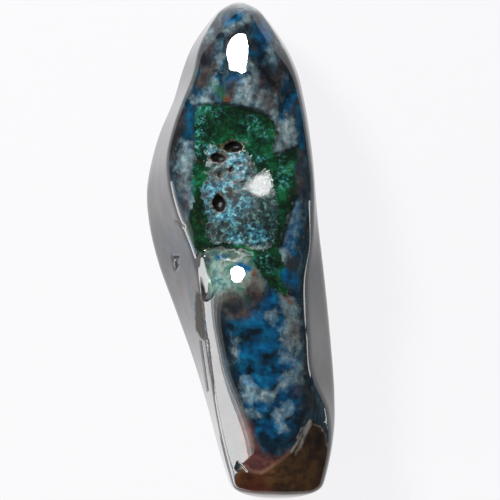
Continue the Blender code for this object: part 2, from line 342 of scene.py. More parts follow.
def depth_in_outline(px, py, corners):
    """Pixels inside a closed outline of straight sides."""
    nearest = np.full(len(px), FAR)
    inside = np.zeros(len(px), bool)
    for (ax, ay), (bx, by) in zip(corners, corners[1:] + corners[:1]):
        nearest = np.minimum(nearest, -depth_in_streak(px, py, ax, ay, bx, by, 0.0))
        crosses = (ay > py) != (by > py)
        with np.errstate(divide="ignore", invalid="ignore"):
            meets = ax + (py - ay) * (bx - ax) / (by - ay) if by != ay else ax
        inside ^= crosses & (px < meets)
    return np.where(inside, nearest, -nearest)


def depth_in_patches(px, py, patches):
    """Depth inside the union of patches, in millimetres: each is an outline, oval or streak."""
    deepest = np.full(len(px), -FAR)
    for patch in patches:
        if isinstance(patch[0], tuple):
            depth = depth_in_outline(px, py, patch)
        elif patch[0] == "oval":
            depth = depth_in_oval(px, py, *patch[1:])
        else:
            depth = depth_in_streak(px, py, *patch[1:])
        deepest = np.maximum(deepest, depth)
    return deepest * PIXEL


# The crisp green zone, and the dark seam round its upper end.
MALACHITE = [
    [(196, 107), (210, 105), (224, 105), (234, 106), (249, 109), (262, 113), (270, 118),
     (276, 128), (278, 134), (275, 142), (273, 150), (277, 155), (284, 153), (290, 149),
     (296, 147), (297, 157), (295, 171), (296, 185), (295, 196), (292, 208), (286, 218),
     (284, 228), (281, 241), (278, 250), (281, 258), (284, 266), (279, 273), (282, 284),
     (289, 292), (285, 296), (275, 289), (267, 284), (262, 275), (257, 268), (252, 257),
     (246, 251), (234, 247), (220, 247), (210, 250), (202, 255), (196, 250), (191, 240),
     (188, 228), (190, 214), (194, 202), (193, 192), (191, 180), (193, 168), (197, 160),
     (195, 150), (195, 140), (194, 128), (195, 116)],
]
SEAM = [
    ("streak", 197, 105, 226, 104, 1.2), ("streak", 226, 104, 248, 108, 1.4),
    ("streak", 248, 108, 271, 118, 1.8), ("streak", 271, 118, 278, 134, 1.2),
    ("streak", 278, 134, 274, 150, 1.0), ("streak", 274, 155, 297, 147, 1.6),
    ("streak", 253, 62, 262, 71, 0.9), ("streak", 262, 71, 276, 88, 1.1),
    ("streak", 296, 196, 280, 246, 1.8), ("streak", 206, 247, 246, 250, 1.5),
    ("streak", 222, 339, 248, 336, 1.4), ("streak", 240, 108, 262, 113, 3.0),
]
DARK_GREEN = [
    ("streak", 236, 110, 268, 120, 5), ("oval", 224, 124, 4, 7), ("oval", 208, 118, 7, 6),
    ("streak", 292, 152, 280, 162, 6), ("streak", 292, 190, 286, 214, 5),
    ("oval", 196, 224, 12, 20), ("oval", 200, 244, 9, 8), ("streak", 258, 262, 274, 286, 5),
    ("streak", 280, 222, 278, 246, 4), ("oval", 276, 262, 6, 8), ("oval", 200, 158, 5, 12),
    ("oval", 202, 204, 6, 10),
]
FLECKS = [
    ("streak", 200, 110, 198, 150, 5), ("streak", 200, 110, 212, 108, 2.5),
    ("oval", 217, 115, 4, 5), ("oval", 206, 148, 9, 6), ("oval", 252, 124, 8, 9),
    ("oval", 265, 134, 6, 6), ("oval", 284, 178, 6, 14), ("oval", 268, 269, 6, 5),
    ("oval", 192, 178, 2.5, 14), ("oval", 244, 141, 5, 4), ("oval", 262, 158, 7, 5),
    ("oval", 260, 258, 8, 3),
]
# The open pocket of crystals, and where its crystals are turquoise rather than grey.
DRUSE = [
    [(205, 155), (212, 147), (222, 151), (244, 152), (250, 158), (254, 166), (257, 173),
     (268, 172), (273, 184), (276, 198), (279, 210), (278, 224), (276, 238), (272, 248),
     (262, 250), (250, 248), (240, 244), (226, 244), (212, 244), (206, 236), (207, 226),
     (206, 214), (205, 204), (201, 197), (201, 190), (206, 182), (207, 170), (206, 162)],
]
TURQUOISE = [
    ("oval", 236, 160, 10, 9), ("oval", 213, 190, 12, 8), ("oval", 226, 214, 12, 8),
    ("oval", 226, 184, 9, 5), ("streak", 206, 202, 210, 216, 2.5),
    ("streak", 228, 202, 232, 222, 3.5), ("oval", 240, 172, 7, 8),
    ("streak", 232, 234, 240, 240, 4), ("oval", 244, 204, 8, 7), ("oval", 212, 152, 6, 4),
    ("oval", 254, 232, 8, 6), ("oval", 258, 240, 7, 4),
]
# The right half of the pocket, where the crystals were ground almost flat.
GROUND_DRUSE = [
    ("oval", 263, 187, 18, 18), ("oval", 266, 214, 10, 16),
]
# Blue azurite in the plain stone, and the clearest blue in it.
AZURITE = [
    ("streak", 226, 24, 242, 13, 5), ("streak", 250, 52, 264, 62, 3.5),
    ("streak", 222, 84, 206, 92, 4), ("streak", 236, 88, 232, 100, 2.5),
    [(249, 20), (262, 21), (272, 34), (275, 44), (269, 52), (264, 60), (257, 58), (255, 48),
     (253, 38), (255, 28)],
    ("streak", 219, 64, 218, 79, 5), ("streak", 229, 80, 244, 80, 4.5), ("oval", 201, 93, 6, 5),
    [(288, 92), (299, 89), (298, 99), (291, 108), (285, 119), (280, 127), (276, 122), (279, 110)],
    ("streak", 284, 92, 291, 81, 4), ("streak", 189, 106, 189, 142, 4.0),
    ("streak", 203, 179, 203, 190, 4), ("streak", 301, 104, 302, 146, 5),
    ("oval", 214, 118, 4, 4),
    [(294, 198), (300, 204), (301, 222), (297, 240), (294, 252), (279, 252), (282, 240),
     (286, 226), (290, 212)],
    ("streak", 284, 274, 293, 282, 6), ("oval", 292, 294, 5, 5),
    ("streak", 218, 257, 229, 256, 3), ("streak", 238, 265, 249, 269, 4),
    ("oval", 212, 40, 5, 9), ("oval", 196, 46, 3, 8),
    [(264, 290), (274, 289), (280, 298), (283, 308), (288, 316), (286, 330), (292, 345),
     (302, 352), (303, 366), (302, 384), (302, 400), (301, 416), (296, 432), (286, 445),
     (273, 454), (262, 452), (256, 440), (252, 424), (244, 412), (238, 400), (236, 386),
     (232, 370), (227, 356), (221, 344), (219, 332), (226, 322), (240, 316), (250, 308),
     (258, 303)],
]
BRIGHT_BLUE = [
    ("streak", 228, 22, 240, 15, 3.5), ("streak", 258, 26, 262, 48, 4),
    ("streak", 262, 28, 266, 42, 5), ("streak", 297, 204, 289, 248, 7),
    ("streak", 231, 80, 240, 80, 3), ("streak", 281, 120, 295, 96, 3.5),
    ("streak", 283, 274, 293, 281, 4.5), ("oval", 273, 301, 9, 9), ("oval", 258, 318, 9, 8),
    ("oval", 262, 346, 14, 9), ("oval", 286, 360, 10, 8), ("oval", 262, 378, 16, 8),
    ("oval", 284, 390, 8, 7), ("oval", 264, 404, 13, 5), ("oval", 292, 404, 6, 12),
    ("oval", 276, 424, 13, 9), ("streak", 219, 257, 228, 256, 2),
    ("streak", 240, 266, 247, 269, 3), ("oval", 290, 244, 6, 6), ("oval", 280, 334, 6, 8),
]
# Pale quartz that lies on the stone like mist, and one patch of painted reflection at the front's
# left edge.
PALE = [
    ("streak", 240, 4, 254, 9, 2.6), ("oval", 247, 17, 4, 3.5),
    ("streak", 228, 31, 240, 27, 2.6), ("streak", 211, 34, 216, 48, 2.5),
    ("streak", 269, 50, 272, 60, 2.4), ("streak", 276, 30, 284, 44, 1.8),
    [(242, 80), (252, 77), (250, 90), (246, 101), (236, 102), (233, 97), (238, 88)],
    ("streak", 256, 80, 247, 105, 2.6), ("streak", 262, 92, 255, 108, 2.2),
    ("streak", 250, 62, 255, 74, 1.5), ("streak", 271, 96, 264, 110, 1.6),
    ("streak", 200, 101, 208, 102, 3.5), ("streak", 216, 70, 222, 56, 1.0),
    ("streak", 208, 96, 216, 84, 1.2), ("streak", 271, 114, 279, 129, 3.5),
    ("oval", 287, 132, 8, 13), ("oval", 279, 147, 4, 7),
    # Painted reflection: the grey sheen along the front's left edge, where it tilts towards the
    # flank.
    [(184, 143), (191, 143), (192, 160), (190, 176), (192, 190), (195, 202), (190, 206),
     (183, 190), (180, 170), (181, 155)],
    ("streak", 292, 206, 284, 236, 2.2), ("streak", 299, 212, 292, 246, 1.6),
    ("streak", 296, 204, 289, 226, 1.2), ("oval", 285, 254, 5, 6),
    [(279, 288), (284, 293), (290, 300), (297, 306), (299, 322), (298, 342), (294, 351),
     (288, 348), (284, 338), (281, 328), (285, 320), (288, 316), (284, 308), (281, 298)],
    ("oval", 272, 316, 4, 5), ("oval", 286, 356, 5, 5),
    [(293, 360), (301, 357), (303, 370), (300, 382), (290, 381), (284, 388), (278, 388),
     (282, 378), (290, 372)],
    ("oval", 247, 384, 6, 6), ("streak", 246, 396, 264, 394, 4.5), ("oval", 268, 395, 4, 4),
    ("oval", 288, 409, 7, 6), ("oval", 250, 412, 6, 3), ("streak", 276, 414, 282, 426, 3.5),
    ("oval", 234, 350, 3, 7), ("oval", 298, 350, 3, 7),
]
WINDOW = [
    [(208, 253), (216, 250), (232, 250), (244, 254), (252, 262), (258, 272), (264, 283),
     (262, 289), (250, 287), (240, 290), (233, 300), (224, 306), (214, 302), (210, 286),
     (208, 268)],
]
WINDOW_BLUE = [
    ("streak", 218, 257, 229, 256, 2.6), ("streak", 239, 266, 248, 269, 3.2),
]
GREEN_TINGE = [
    ("streak", 212, 251, 246, 251, 2.2), ("streak", 246, 252, 258, 270, 2.0),
    ("streak", 232, 258, 230, 272, 2.4), ("streak", 208, 268, 212, 292, 1.5),
    ("streak", 236, 284, 248, 300, 1.2), ("streak", 214, 86, 226, 99, 3.0),
]
# Iron stains, brown or rusty. The three brown streaks at the top left are partly painted shadow,
# where a finger's shadow lay on the stone.
RUST = [
    ("streak", 284, 291, 287, 297, 1.8), ("oval", 290, 301, 1.5, 2), ("oval", 205, 242, 3, 6),
    ("streak", 203, 204, 206, 222, 1.6), ("oval", 228, 100, 3, 2.5), ("oval", 224, 123, 2, 5),
    ("oval", 248, 113, 4, 3), ("oval", 254, 274, 3, 4), ("oval", 234, 145, 6, 2),
]
BROWN = [
    [(243, 280), (262, 278), (265, 288), (262, 300), (250, 303), (243, 294)],
    ("streak", 274, 80, 290, 60, 6), ("streak", 276, 84, 266, 106, 4),
    ("streak", 234, 84, 229, 98, 2.5), ("streak", 203, 66, 212, 42, 4),
    ("streak", 200, 88, 212, 66, 3), ("streak", 226, 52, 231, 38, 2.5),
    ("streak", 298, 152, 299, 184, 2.5), ("oval", 228, 300, 13, 9), ("oval", 238, 313, 12, 5),
    ("oval", 298, 390, 4, 7), ("oval", 292, 328, 3, 6), ("streak", 176, 138, 182, 112, 3),
    ("streak", 182, 176, 188, 204, 2), ("streak", 258, 96, 266, 70, 4),
]
# Painted shade: dark patches for a finger's shadow at the top left, the fade beside the bright strip,
# the front's right edge and a shadow rim above the foot.
PAINTED_SHADE = [
    ("streak", 290, 60, 296, 84, 6), ("streak", 246, 30, 234, 36, 4), ("oval", 204, 62, 7, 6),
    ("streak", 306, 90, 312, 150, 5), ("streak", 178, 112, 172, 150, 4),
    ("oval", 226, 306, 10, 5), ("streak", 215, 300, 228, 350, 7),
    ("streak", 228, 350, 240, 404, 6), ("streak", 252, 60, 277, 90, 1.5),
    ("streak", 258, 44, 262, 58, 4), ("streak", 262, 70, 272, 84, 5),
    ("streak", 220, 30, 214, 46, 3), ("streak", 305, 270, 306, 400, 3),
    ("streak", 302, 410, 294, 436, 4), ("streak", 294, 436, 276, 452, 3),
    ("oval", 250, 338, 12, 4), ("streak", 246, 336, 258, 332, 3),
    ("streak", 276, 352, 262, 362, 3), ("streak", 262, 440, 272, 450, 5),
    ("oval", 248, 416, 6, 5),
]
MAUVE = [
    [(236, 408), (246, 414), (253, 428), (257, 442), (264, 453), (276, 456), (288, 450),
     (292, 447), (292, 452), (281, 461), (271, 468), (261, 475), (252, 475), (243, 468),
     (240, 445)],
]
# The hollow facets at the foot, painted highlights for the glints on their ridges, and the reddest
# part of them.
BROWN_FOOT = [
    [(311, 420), (302, 435), (292, 450), (281, 459), (271, 466), (261, 473), (252, 473),
     (244, 470), (238, 464), (230, 510), (327, 510), (333, 470), (329, 447), (325, 434),
     (320, 426)],
]
RED_FOOT = [
    ("oval", 252, 488, 20, 14),
]
EDGE_GLINTS = [
    ("streak", 310, 420, 291, 451, 1.2), ("streak", 311, 423, 295, 454, 0.9),
    ("streak", 308, 426, 299, 448, 1.6), ("streak", 302, 427, 297, 437, 0.8),
    ("streak", 314, 424, 320, 426, 0.6), ("streak", 320, 426, 325, 434, 0.6),
    ("streak", 325, 434, 327, 447, 0.5),
]
BROWN_EDGE = [
    ("streak", 290, 451, 281, 459, 1.4), ("streak", 281, 459, 271, 466, 1.6),
    ("streak", 271, 466, 261, 472, 1.6), ("streak", 261, 472, 254, 471, 1.2),
    ("streak", 254, 471, 245, 465, 1.0),
]
# Dark pits and cracks in the left flank, and a shallow unpolished wedge beside the front.
FLANK_MARKS = [
    ("streak", 173, 258, 178, 257, 1.2), ("streak", 177, 257, 175, 269, 1.1),
    ("streak", 175, 264, 178, 265, 1.0), ("streak", 176, 221, 184, 227, 0.5),
    ("streak", 200.6, 341, 207.5, 391, 0.5), ("streak", 207.5, 341, 210.5, 373, 0.4),
    ("streak", 220, 437, 230, 481, 0.5),
    [(238, 462), (243, 467), (247, 472), (241, 472), (236, 469)],
]
ROUGH_WEDGE = [
    [(196, 291), (201, 294), (204, 316), (206, 341), (201, 338), (196, 330), (195, 310)],
]
# The fold between the domes, where malachite fills the seam and takes no polish.
DULL_FOLD = [
    ("oval", 231, 255, 12, 5), ("streak", 208, 250, 222, 248, 1.5),
    ("streak", 240, 250, 250, 254, 1.5),
]
# Painted shade: the foot's darkest facet and its lower and right rims are painted near black.
FOOT_PAINTED_SHADE = [
    ("oval", 317, 441, 8, 14), ("oval", 300, 500, 26, 8), ("oval", 326, 470, 6, 26),
]
# The patterned front between the two flanks.
FRONT_BAND = [
    [(240, -6), (222, 8), (206, 28), (197, 48), (199, 64), (195, 76), (187, 90), (180, 104),
     (175, 118), (171, 132), (169, 146), (168, 160), (169, 176), (172, 190), (177, 205),
     (182, 218), (185, 235), (190, 250), (204, 256), (206, 280), (211, 311), (216, 334),
     (224, 376), (232, 408), (240, 440), (241, 465), (234, 480), (230, 510), (330, 510),
     (336, 470), (334, 430), (325, 404), (314, 384), (311, 350), (309, 310), (308, 268),
     (311, 244), (315, 220), (317, 190), (316, 150), (310, 110), (303, 84), (292, 56), (278, 26),
     (258, 4)],
]


def upward_share(piece):
    """How much each point faces up: 1 on the front, 0 from the widest line downwards."""
    flat = np.empty(len(piece.data.vertices) * 3)
    piece.data.vertices.foreach_get("normal", flat)
    return np.clip(flat.reshape(-1, 3)[:, 2] / UPWARD_FADE, 0, 1)


def map_mineral(piece, name, patches):
    """Store how deep each point lies inside a mineral's patches, for the shader to read."""
    px, py = in_view(places_of(piece))
    depth = np.clip(depth_in_patches(px, py, patches), -DEPTH_LIMIT, DEPTH_LIMIT)
    depth = -DEPTH_LIMIT + (depth + DEPTH_LIMIT) * upward_share(piece)
    layer = piece.data.attributes.new(name, "FLOAT", "POINT")
    layer.data.foreach_set("value", depth.astype(np.float32))
    return depth


maps = {
    "malachite": MALACHITE, "seam": SEAM, "dark_green": DARK_GREEN, "flecks": FLECKS,
    "druse": DRUSE, "turquoise": TURQUOISE, "ground_druse": GROUND_DRUSE, "azurite": AZURITE,
    "bright_blue": BRIGHT_BLUE, "pale": PALE, "window": WINDOW, "window_blue": WINDOW_BLUE,
    "green_tinge": GREEN_TINGE, "rust": RUST, "brown": BROWN, "painted_shade": PAINTED_SHADE, "mauve": MAUVE,
    "brown_foot": BROWN_FOOT, "red_foot": RED_FOOT, "painted_edge_glints": EDGE_GLINTS,
    "brown_edge": BROWN_EDGE, "flank_marks": FLANK_MARKS, "rough_wedge": ROUGH_WEDGE,
    "dull_fold": DULL_FOLD, "foot_painted_shade": FOOT_PAINTED_SHADE, "front_band": FRONT_BAND,
}
depths = {name: map_mineral(stone, name, patches) for name, patches in maps.items()}
# The pits have a map of their own, in shares of each pit's half width.
places = places_of(stone)
pit_depth = np.maximum(depth_in_pits(*in_view(places)), -PIT_MAP_LIMIT)
pit_depth = np.where(places[:, 2] > FRONT_LEVEL, pit_depth, -PIT_MAP_LIMIT)
pits_layer = stone.data.attributes.new("pits", "FLOAT", "POINT")
pits_layer.data.foreach_set("value", pit_depth.astype(np.float32))
for name, depth in depths.items():
    print(f"{name}: {100 * np.mean(depth > 0):.1f} % of the points")

# %% [markdown]
# ## Small flats
# The stone was ground by hand, so its domes have small flats, and the lamp's image fills each
# flat as one white patch, crisp on the polish and softer on the ground crystals. Each flat is
# a plane that the surface is drawn to inside its outline, and it faces half way between the
# camera and its lamp. The last one starts the bright bevel on the left. A few steps of
# smoothing take the creases off their edges.

# %% Draw the flats
LEFT_LIGHT = (-1.0, -0.25, 0.14)
# Each flat: its outline or oval in the view, the light it turns to, and its fading edge in mm.
FLATS = [
    ([(247, 34), (233, 41), (229.5, 55), (229, 71), (237, 71), (241, 75), (247.5, 73)],
     KEY_DIRECTION, 0.35),
    (("oval", 260, 186, 7.5, 8.5), KEY_DIRECTION, 0.9),
    ([(231.5, 271), (241, 271), (241, 283), (231.5, 283)], KEY_DIRECTION, 0.3),
    ([(200.5, 258), (203, 255.5), (205, 258), (206.2, 268), (207.2, 280), (208.4, 292),
      (206, 294), (203.5, 282), (202, 269)], LEFT_LIGHT, 0.45),
]
FLAT_SMOOTHING = 5
# No flat reaches below this level. A flat's plane goes through the points this near its rim.
FLAT_LEVEL = 4.0
RIM_WIDTH = 0.12
# Past this depth a flat counts as its inside, which isn't smoothed.
EDGE_DEPTH = 0.1


def draw_flat(piece, patch, towards, fade):
    """Draw the surface to a plane inside a patch, and tell which points are on its edge."""
    places = places_of(piece)
    px, py = in_view(places)
    above = places[:, 2] > FLAT_LEVEL
    depth = np.where(above, depth_in_patches(px, py, [patch]), -FAR)
    facing = Vector(towards).normalized() + Vector((0, 0, 1))
    middle = places[np.abs(depth) < RIM_WIDTH].mean(axis=0)
    away = places - middle
    plane = middle[2] - (facing.x * away[:, 0] + facing.y * away[:, 1]) / facing.z
    share = np.clip(1 + depth / fade, 0, 1)
    # An eased share leaves no crease where the change begins.
    share = share * share * (3 - 2 * share)
    moved = share * (plane - places[:, 2])
    places[:, 2] += moved
    piece.data.vertices.foreach_set("co", (places * MM).ravel())
    piece.data.update()
    print(f"flat: cut {-moved.min():.3f} mm, filled {moved.max():.3f} mm")
    return (share > 0) & (depth < EDGE_DEPTH)


edges = np.zeros(len(stone.data.vertices), bool)
for patch, towards, fade in FLATS:
    edges |= draw_flat(stone, patch, towards, fade)
weigh(stone, "flat_edges", edges)
apply_modifier(stone, "soften", "SMOOTH", factor=0.5, iterations=FLAT_SMOOTHING,
               vertex_group="flat_edges")

# %% [markdown]
# ## Pits and cracks
# The left flank has a few thin cracks and a twig-shaped pit, and the foot has a notch. They are
# pressed into the surface, because a painted mark would vanish in the flank's reflection.

# %% Press in the pits
PIT_DEPTH = 0.15
PIT_SLOPE = 0.08
pressed = np.clip((depths["flank_marks"] + PIT_SLOPE) / (2 * PIT_SLOPE), 0, 1)
weigh(stone, "pressed", pressed)
apply_modifier(stone, "press", "DISPLACE", mid_level=0.0, strength=-PIT_DEPTH * MM,
               vertex_group="pressed")
print("points pressed in:", int(np.sum(pressed > 0.5)))

# %% [markdown]
# ## The druse
# In the green zone the polish broke into a pocket of tiny crystals, a druse. It is too hard
# and too open to take a polish, so its surface stays rough. Two displacements raise it: a
# lumpy one of about half a millimetre, and a sharper one near the size of the net. Its right
# half was ground almost flat, so little of the relief is left there.

# %% Raise the druse
DRUSE_LUMPS = 0.5
DRUSE_GRAINS = 0.28
LUMP_HEIGHT = 0.10
GRAIN_HEIGHT = 0.09
# Most of the relief sinks below the skin, and the crests stand above it.
SKIN_LEVEL = 0.75
DRUSE_FADE = 0.25
GROUND_FADE = 0.4
GROUND_AWAY = 0.85

upward = places[:, 2] > FRONT_LEVEL
ground = np.clip(depths["ground_druse"] / GROUND_FADE + 0.5, 0, 1)
relief = np.clip(depths["druse"] / DRUSE_FADE, 0, 1) * (1 - GROUND_AWAY * ground) * upward
weigh(stone, "druse_relief", relief)
lumps = bpy.data.textures.new("lumps", "CLOUDS")
lumps.noise_scale = DRUSE_LUMPS * MM
grains = bpy.data.textures.new("grains", "VORONOI")
grains.noise_scale = DRUSE_GRAINS * MM
for texture, height in ((lumps, LUMP_HEIGHT), (grains, GRAIN_HEIGHT)):
    apply_modifier(stone, texture.name, "DISPLACE", texture=texture, texture_coords="LOCAL",
                   strength=height * MM, mid_level=SKIN_LEVEL, vertex_group="druse_relief")
stone.data.shade_smooth()
print("druse points:", int(np.sum((depths["druse"] > 0) & upward)))

# %% [markdown]
# ## The polished stone's finish
# One material holds all the minerals, because on the real stone they share one polished skin.
# Layers are laid over a dark matrix in the order that they lie: pale quartz, azurite, iron
# stains, malachite, then the crystals of the druse.

# %% Mixing tools
PER_MM = 1000.0
# The upper end grew in slanting fibres, so one set of places is squeezed along their slant.
FIBRE_SLANT = math.radians(-28)
FIBRE_SQUEEZE = (1.0, 0.3, 0.6)
# Nearly all of the noise lies between these two values.
NOISE_RANGE = (0.3, 0.7)
EDGE_ROUGHNESS = 0.6

finish = bpy.data.materials.new("polished_copper_minerals")
finish.use_nodes = True
tree = finish.node_tree
shader = tree.nodes["Principled BSDF"]

object_place = add_node(finish, "ShaderNodeTexCoord").outputs["Object"]
in_mm = add_node(finish, "ShaderNodeVectorMath", {0: object_place, "Scale": PER_MM},
                 operation="SCALE").outputs[0]
fibre_mm = add_node(finish, "ShaderNodeMapping", {
    "Vector": in_mm, "Rotation": (0, 0, FIBRE_SLANT), "Scale": FIBRE_SQUEEZE}).outputs[0]


def clouds(size_mm, detail=3.0, roughness=0.55, distortion=0.0, places=in_mm):
    """What a noise node takes to make clouds of about this many millimetres."""
    return {"Vector": places, "Scale": 1.0 / size_mm, "Detail": detail, "Roughness": roughness,
            "Distortion": distortion}


def mottle(cloud, *stops):
    """A mineral's colours, from (place, hex colour) stops that follow clouds."""
    value = add_node(finish, "ShaderNodeTexNoise", cloud).outputs[0]
    return add_node(finish, "ShaderNodeValToRGB", {0: value}, stops).outputs[0]


def cloud_share(cloud, low, high, to_low=0.0, to_high=1.0):
    """A share that rises with the clouds, between two of their values."""
    value = add_node(finish, "ShaderNodeTexNoise", cloud).outputs[0]
    return add_node(finish, "ShaderNodeMapRange",
                    {0: value, 1: low, 2: high, 3: to_low, 4: to_high}).outputs[0]


def patch_share(name, wander, edge, size_mm, detail=4.0, places=in_mm, grain=1.0):
    """How much of a mineral shows.

    Its map's depth is pushed about by clouds as far as it may wander, cut at zero with a soft
    edge, and thinned by a grain. All but the grain are in millimetres.
    """
    depth = add_node(finish, "ShaderNodeAttribute", attribute_name=name).outputs["Fac"]
    cloud = clouds(size_mm, detail, EDGE_ROUGHNESS, 0.0, places)
    push = cloud_share(cloud, *NOISE_RANGE, -wander, wander)
    pushed = add_node(finish, "ShaderNodeMath", {0: depth, 1: push}, operation="ADD").outputs[0]
    shown = add_node(finish, "ShaderNodeMapRange", {0: pushed, 1: -edge, 2: edge}).outputs[0]
    return add_node(finish, "ShaderNodeMath", {0: shown, 1: grain},
                    operation="MULTIPLY").outputs[0]


def lay_over(below, above, share, most=1.0):
    """Lay one colour over another by a share from 0 to 1, of which at most a part covers."""
    cover = add_node(finish, "ShaderNodeMath", {0: share, 1: most}, operation="MULTIPLY")
    return add_node(finish, "ShaderNodeMix", {0: cover.outputs[0], 6: below, 7: above},
                    data_type="RGBA").outputs[2]


print("fibres slant by", round(math.degrees(FIBRE_SLANT)), "degrees")

# %% [markdown]
# The plain stone comes first: slate, dark blue and brown earth, with azurite in it. Azurite
# takes its darkest blue where it is thick, so two blues follow one another by their own map.

# %% The plain stone and its azurite
slate = mottle(clouds(1.2, 6.0, 0.66, 0.5, fibre_mm), (0.30, "0C1116"), (0.42, "1E2930"),
               (0.50, "2C3B43"), (0.57, "332D2A"), (0.66, "45504F"))
dark_blue = mottle(clouds(0.7, 6.0, 0.66, 0.3, fibre_mm), (0.35, "061A28"), (0.50, "103A4E"),
                   (0.66, "2E6074"))
colour = lay_over(slate, dark_blue, cloud_share(clouds(1.7, 6.0, 0.62, 0.4), 0.47, 0.62))
fibres = cloud_share(clouds(0.45, 7.0, 0.7, 0.5, fibre_mm), 0.50, 0.66)
colour = lay_over(colour, linear("6A8A96"), fibres, 0.35)
azurite = mottle(clouds(1.0, 6.0, 0.62, 0.3), (0.30, "000C14"), (0.42, "002233"),
                 (0.52, "003A55"), (0.62, "005070"), (0.74, "0A6680"))
bright_azurite = mottle(clouds(0.8, 6.0, 0.58, 0.3), (0.30, "00325A"), (0.44, "00507F"),
                        (0.55, "006799"), (0.66, "0C7EA8"), (0.76, "4098B6"))
azurite = lay_over(azurite, bright_azurite, patch_share("bright_blue", 0.6, 0.5, 1.0))
colour = lay_over(colour, azurite, patch_share("azurite", 0.36, 0.22, 0.8, 6.0), 0.98)
print("material nodes:", len(tree.nodes))

# %% [markdown]
# Pale quartz lies over and between the blue like mist: its edges are wide, it is never quite
# opaque, and it is tinted by what lies under it. The dome below the green zone has one large
# window of it, greener than the rest.

# %% Quartz, stains and shadows
# Pale quartz; the same paint also stands for a painted reflection at the front's left edge.
quartz_and_sheen = mottle(clouds(0.6, 6.0, 0.66, 0.3, fibre_mm), (0.32, "648A9A"), (0.44, "8CACB4"),
                (0.56, "A6BCBE"), (0.68, "C6D4D6"))
grain = cloud_share(clouds(0.45, 7.0, 0.66), 0.38, 0.60, 0.35, 1.0)
colour = lay_over(colour, quartz_and_sheen, patch_share("pale", 0.40, 0.36, 0.6, 7.0, grain=grain), 0.9)
window_tint = mottle(clouds(0.8, 7.0, 0.66, 0.4), (0.32, "3E6E74"), (0.42, "6B9690"),
                     (0.50, "93B3A9"), (0.58, "A3B0A4"), (0.68, "8C8377"))
window_grain = cloud_share(clouds(0.5, 7.0, 0.7, 0.4), 0.34, 0.56, 0.3, 1.0)
window_share = patch_share("window", 0.45, 0.5, 0.8, 6.0, grain=window_grain)
colour = lay_over(colour, window_tint, window_share, 0.95)
colour = lay_over(colour, linear("0A5C8C"), patch_share("window_blue", 0.12, 0.1, 0.4))
colour = lay_over(colour, linear("2C6A40"), patch_share("green_tinge", 0.2, 0.3, 0.5, 6.0), 0.6)
colour = lay_over(colour, linear("123A22"), patch_share("dull_fold", 0.2, 0.2, 0.4, 6.0), 0.6)
# Brown stains; at the top left this brown is partly a painted shadow of a finger.
brown = mottle(clouds(0.7, 6.0, 0.65), (0.32, "1D1614"), (0.48, "3B2C28"), (0.60, "5A443B"),
               (0.72, "7A6459"))
brown_share = patch_share("brown", 0.4, 0.4, 0.7, 7.0, fibre_mm)
colour = lay_over(colour, brown, brown_share, 0.75)
rust = mottle(clouds(0.4, 5.0), (0.35, "4A2416"), (0.55, "86472A"), (0.70, "B4683C"))
colour = lay_over(colour, rust, patch_share("rust", 0.12, 0.14, 0.4), 0.9)
# Painted shade: the front is darkened where it lies in shade.
colour = lay_over(colour, linear("0A1016"), patch_share("painted_shade", 0.3, 0.4, 0.8), 0.85)
mauve = mottle(clouds(0.9, 5.0), (0.30, "2A1A1E"), (0.50, "522F2C"), (0.68, "6E4740"))
colour = lay_over(colour, mauve, patch_share("mauve", 0.15, 0.25, 0.8))
print("material nodes:", len(tree.nodes))

# %% [markdown]
# The green zone is malachite: fine fibrous green with darker knots, specks of brown earth and
# turquoise flecks. The druse lies inside it, where black gaps between the crystals make the
# turquoise look brighter than it is. Its open pits are nearly black, with earthy rims.

# %% Malachite and druse
fine_green = add_node(finish, "ShaderNodeTexNoise", clouds(0.4, 7.0, 0.7, 0.6)).outputs[0]
broad_green = add_node(finish, "ShaderNodeTexNoise", clouds(1.5, 5.0)).outputs[0]
green_grain = add_node(finish, "ShaderNodeMix", {0: 0.5, 2: fine_green, 3: broad_green},
                       data_type="FLOAT").outputs[0]
GREENS = ((0.36, "03100A"), (0.44, "07291A"), (0.51, "0A4528"), (0.58, "15653B"), (0.66, "3F8A68"))
malachite = add_node(finish, "ShaderNodeValToRGB", {0: green_grain}, GREENS).outputs[0]
knots = mottle(clouds(0.5, 5.0), (0.36, "020806"), (0.54, "08200F"), (0.70, "1B4222"))
malachite = lay_over(malachite, knots, patch_share("dark_green", 0.4, 0.35, 0.6), 0.85)
earth_specks = cloud_share(clouds(0.6, 6.0, 0.7, 0.3), 0.60, 0.66)
malachite = lay_over(malachite, linear("4E3A22"), earth_specks, 0.6)
flecks = mottle(clouds(0.3, 5.0), (0.40, "1C6A72"), (0.60, "5FB3AE"), (0.72, "A6D8C8"))
fleck_grain = cloud_share(clouds(0.28, 6.0, 0.7, 0.6), 0.50, 0.58)
fleck_share = patch_share("flecks", 0.3, 0.25, 0.4, grain=fleck_grain)
malachite = lay_over(malachite, flecks, fleck_share, 0.85)
colour = lay_over(colour, malachite, patch_share("malachite", 0.22, 0.06, 0.5, 7.0))
colour = lay_over(colour, linear("060D0C"), patch_share("seam", 0.08, 0.1, 0.4), 0.85)

crystals = clouds(0.36, 7.0, 0.74, 0.6)
grey_druse = mottle(crystals, (0.40, "04090A"), (0.48, "102527"), (0.54, "274E4C"),
                    (0.60, "517F78"), (0.70, "9FC8C0"))
cyan_druse = mottle(crystals, (0.36, "04121A"), (0.44, "0D3A4C"), (0.50, "2A7C94"),
                    (0.56, "5CB2C2"), (0.66, "C4EEF0"))
druse = lay_over(grey_druse, cyan_druse, patch_share("turquoise", 0.4, 0.3, 0.45))
druse_share = patch_share("druse", 0.25, 0.1, 0.4, 5.0)
colour = lay_over(colour, druse, druse_share)

